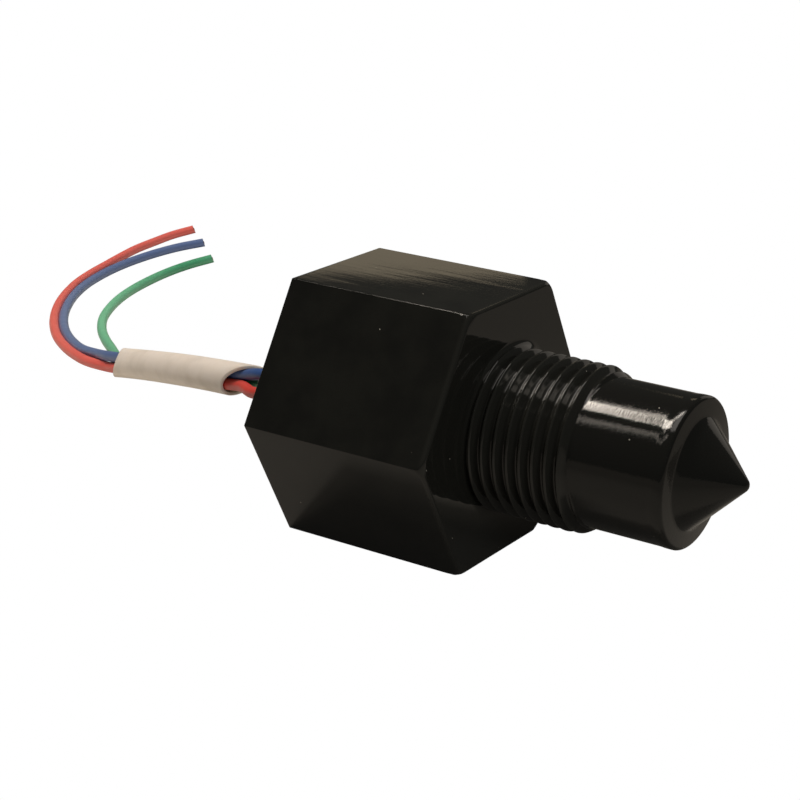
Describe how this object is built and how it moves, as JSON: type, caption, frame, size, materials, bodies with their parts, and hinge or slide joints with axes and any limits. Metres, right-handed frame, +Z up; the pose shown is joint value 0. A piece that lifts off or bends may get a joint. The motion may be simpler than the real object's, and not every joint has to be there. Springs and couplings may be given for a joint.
{
  "type": "optical level switch",
  "caption": "Optical liquid level switch with a hexagon body, threaded shank, prism cone tip and thin leads held in a sleeve.",
  "frame": {"origin": "centre of the hexagon's front face, on the sensor axis, where the thread starts", "axes": "+X along the sensor axis to the tip, +Z up from the flat that the body lies on"},
  "size_m": [0.1442, 0.1055, 0.029],
  "materials": {
    "black_moulding": "polished infrared-passing black moulding",
    "potting_resin": "satin black cast epoxy",
    "board": "green solder mask",
    "black_holder": "matt black moulding",
    "tinted_lens": "clear blue-tinted epoxy",
    "dark_lens": "dark daylight-blocking epoxy",
    "tinned_pins": "tin-plated",
    "chip_body": "moulded epoxy",
    "resistor_body": "glazed black on ceramic",
    "capacitor_body": "tan ceramic",
    "solder": "reflowed solder",
    "copper": "tinned copper strands",
    "red_insulation": "satin PVC",
    "blue_insulation": "satin PVC",
    "green_insulation": "satin PVC",
    "cream_sleeving": "matt shrink sleeving"
  },
  "bodies": {
    "root": {"housing": "black_moulding", "potting_compound": "potting_resin", "circuit_board": "board", "optic_holder": "black_holder", "infrared_emitter": "tinted_lens", "emitter_pins": "tinned_pins", "phototransistor": "dark_lens", "detector_pins": "tinned_pins", "comparator_ic": "chip_body", "comparator_pins": "tinned_pins", "regulator": "chip_body", "regulator_pins": "tinned_pins", "output_transistor": "chip_body", "output_transistor_pins": "tinned_pins", "protection_diode": "chip_body", "diode_tabs": "tinned_pins", "chip_resistors": "resistor_body", "chip_capacitors": "capacitor_body", "solder_joints": "solder", "conductor_red": "copper", "conductor_blue": "copper", "conductor_green": "copper", "lead_red": "red_insulation", "lead_blue": "blue_insulation", "lead_green": "green_insulation", "lead_sleeve": "cream_sleeving"}
  },
  "joints": []
}
